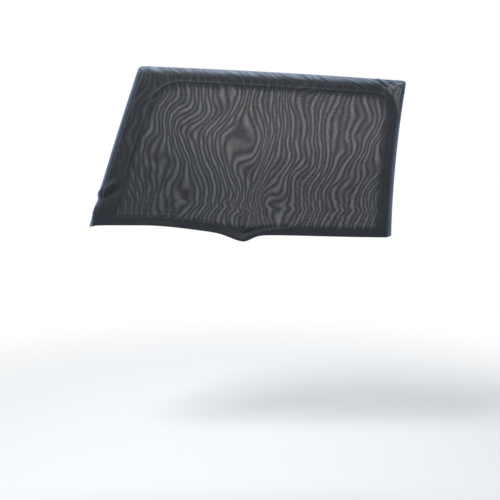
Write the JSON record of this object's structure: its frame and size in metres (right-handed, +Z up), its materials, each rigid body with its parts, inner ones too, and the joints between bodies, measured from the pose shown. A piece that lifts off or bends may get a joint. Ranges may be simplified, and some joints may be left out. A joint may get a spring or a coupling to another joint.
{
  "type": "car side window sunshade",
  "caption": "Sock-type side window sunshade of black stretch mesh: two panels sewn round three edges, open below with an elastic hem, shaped as stretched over a door's window frame.",
  "frame": {"origin": "middle of the open mouth: halfway along the hem, midway between the two panels, at the mean height of the hem", "axes": "+X along the door, to the right seen from the cabin; -Y towards the cabin; +Z up, from the mouth to the closed top edge"},
  "size_m": [0.941, 0.0551, 0.5119],
  "materials": {
    "black_stretch_mesh": "thin black warp-knit polyester mesh with small open holes, soft sheen, see-through in the middle",
    "black_sewing_thread": "black overlock and hem thread, slightly glossy",
    "black_elastic": "black woven flat elastic, matt"
  },
  "bodies": {
    "root": {"cabin_mesh_panel": "black_stretch_mesh", "outer_mesh_panel": "black_stretch_mesh", "overlock_seam_thread": "black_sewing_thread", "hem_elastic": "black_elastic"}
  },
  "joints": []
}
